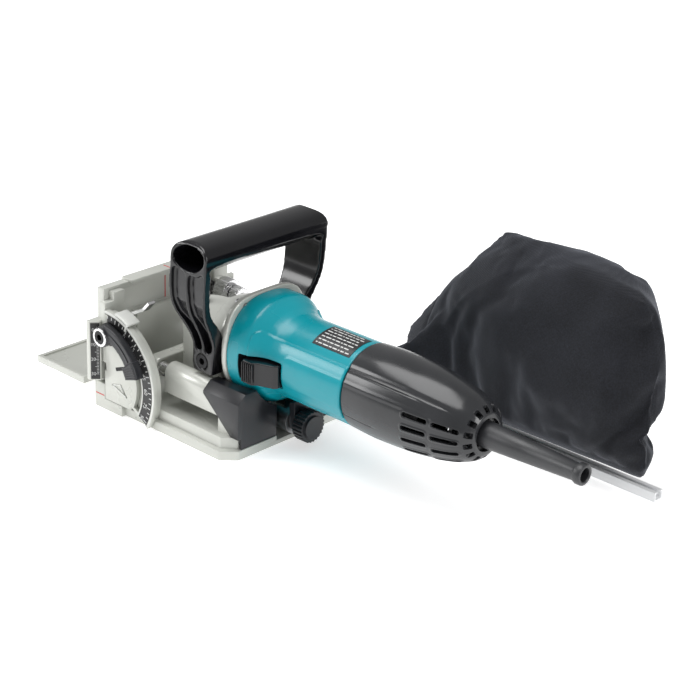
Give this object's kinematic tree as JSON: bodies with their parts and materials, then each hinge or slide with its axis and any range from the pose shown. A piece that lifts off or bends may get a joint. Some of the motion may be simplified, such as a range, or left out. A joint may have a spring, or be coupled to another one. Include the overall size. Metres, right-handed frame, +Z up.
{
  "type": "biscuit joiner",
  "caption": "Hand-held electric biscuit joiner with a plunging motor unit, a tilting fence, a height-set angle guide, a front D-handle and a cloth dust bag.",
  "frame": {"origin": "on the sole plane, under the cutter spindle's axis at rest", "axes": "+X runs back from the work face to the cord, +Y to the side the dust bag hangs on, +Z up from the sole"},
  "size_m": [0.432, 0.2015, 0.145],
  "materials": {
    "cast_silver": "silver-grey painted die casting, fine texture",
    "steel": "machined steel",
    "bright_steel": "polished plated steel",
    "black_gloss": "glossy black plastic",
    "black_satin": "satin black plastic",
    "housing_teal": "semi-gloss teal plastic",
    "scale_black": "black anodised plate with white graduations",
    "black_rubber": "matt black rubber",
    "bag_cloth": "dark woven cloth",
    "clip_white": "milky white extruded plastic",
    "copper": "enamelled copper wire",
    "laminate": "stacked electrical steel sheet",
    "carbon": "pressed carbon",
    "bronze": "sintered bronze",
    "label": "black foil label with plain marks, no text",
    "blade_steel": "ground tool steel with carbide tips"
  },
  "bodies": {
    "base": {"base_casting": "cast_silver", "sole_cover": "steel", "depth_stop_housing": "black_satin", "stop_screw": "steel", "guide_bushes": "bronze", "pointer_tab": "bright_steel", "stop_spring": "bright_steel", "pivot_pins": "steel", "base_screws": "steel", "dust_spout": "black_satin", "bag_collar": "black_rubber", "dust_bag": "bag_cloth"},
    "bag_clip": {"bag_clip": "clip_white"},
    "fence": {"fence": "cast_silver", "angle_scale_plate": "scale_black"},
    "angle_guide": {"angle_guide": "cast_silver", "guide_rack": "steel", "height_scale_plate": "scale_black"},
    "height_knob": {"height_knob": "bright_steel", "height_pinion": "steel"},
    "height_lock_nut": {"height_lock_nut": "bright_steel"},
    "tilt_lever": {"tilt_lever": "black_satin", "tilt_clamp_screw": "steel"},
    "motor_unit": {"gear_housing": "cast_silver", "handle": "black_gloss", "handle_screws": "steel", "flange_screws": "steel", "slide_bars": "bright_steel", "plunge_springs": "steel", "motor_housing": "housing_teal", "rating_label": "label", "rear_cover": "black_satin", "cord_guard": "black_rubber", "depth_bracket": "black_satin", "field_core": "laminate", "field_windings": "copper", "front_bearing": "steel", "rear_bearing": "steel", "spindle_bearing": "steel", "spindle_bush": "bronze", "brush_holders": "bronze", "carbon_brushes": "carbon", "switch_unit": "black_satin", "shaft_lock_spring": "steel"},
    "spindle": {"spindle": "steel", "bevel_gear": "steel", "blade_flange": "steel", "blade": "blade_steel", "lock_nut": "steel"},
    "armature": {"armature_shaft": "steel", "armature_core": "laminate", "armature_windings": "copper", "commutator": "copper", "cooling_fan": "black_satin", "bevel_pinion": "steel"},
    "depth_knob": {"depth_knob": "black_satin", "depth_cam": "steel"},
    "switch_slider": {"switch_slider": "black_satin", "switch_link": "black_satin"},
    "shaft_lock": {"shaft_lock_button": "black_satin"}
  },
  "joints": [
    {"name": "plunge", "type": "slide", "parent": "base", "child": "motor_unit", "axis": [-1, 0, 0], "range_m": [0, 0.02], "stiffness_N_per_m": 500, "springref_m": -0.02, "deforming": ["plunge_springs"]},
    {"name": "fence_tilt", "type": "hinge", "parent": "base", "child": "fence", "pos_m": [-0.038, 0, 0.026], "axis": [0, -1, 0], "range_deg": [0, 90]},
    {"name": "guide_lift", "type": "slide", "parent": "fence", "child": "angle_guide", "axis": [0, 0, 1], "range_m": [0, 0.0421]},
    {"name": "height_knob_turn", "type": "hinge", "parent": "fence", "child": "height_knob", "pos_m": [-0.026, 0.044, 0.064], "axis": [-1, 0, 0], "range_deg": [0, 490]},
    {"name": "height_lock", "type": "hinge", "parent": "fence", "child": "height_lock_nut", "pos_m": [-0.018, 0.044, 0.064], "axis": [1, 0, 0], "range_deg": [0, 90]},
    {"name": "tilt_lever_turn", "type": "hinge", "parent": "base", "child": "tilt_lever", "pos_m": [-0.0339, -0.066, 0.05935], "axis": [0, -1, 0], "range_deg": [0, 45]},
    {"name": "spindle_spin", "type": "hinge", "parent": "motor_unit", "child": "spindle", "pos_m": [0, 0, 0.01], "axis": [0, 0, 1], "continuous": true},
    {"name": "armature_spin", "type": "hinge", "parent": "motor_unit", "child": "armature", "pos_m": [0.095, 0, 0.064], "axis": [1, 0, 0], "continuous": true},
    {"name": "depth_select", "type": "hinge", "parent": "motor_unit", "child": "depth_knob", "pos_m": [0.099, 0, 0.016], "axis": [-1, 0, 0], "range_deg": [0, 360]},
    {"name": "switch_slide", "type": "slide", "parent": "motor_unit", "child": "switch_slider", "axis": [-1, 0, 0], "range_m": [0, 0.005]},
    {"name": "shaft_lock_press", "type": "slide", "parent": "motor_unit", "child": "shaft_lock", "axis": [0, 0, -1], "range_m": [0, 0.003], "stiffness_N_per_m": 300, "springref_m": -0.003, "deforming": ["shaft_lock_spring"]},
    {"name": "clip_slide", "type": "slide", "parent": "base", "child": "bag_clip", "axis": [1, 0, 0], "range_m": [0, 0.155]}
  ],
  "couplings": [
    {"joint": "guide_lift", "follows": "fence_tilt", "m_per_rad": 0.026738},
    {"joint": "height_knob_turn", "follows": "fence_tilt", "ratio": 5.3476},
    {"joint": "armature_spin", "follows": "spindle_spin", "ratio": 2.6667}
  ]
}
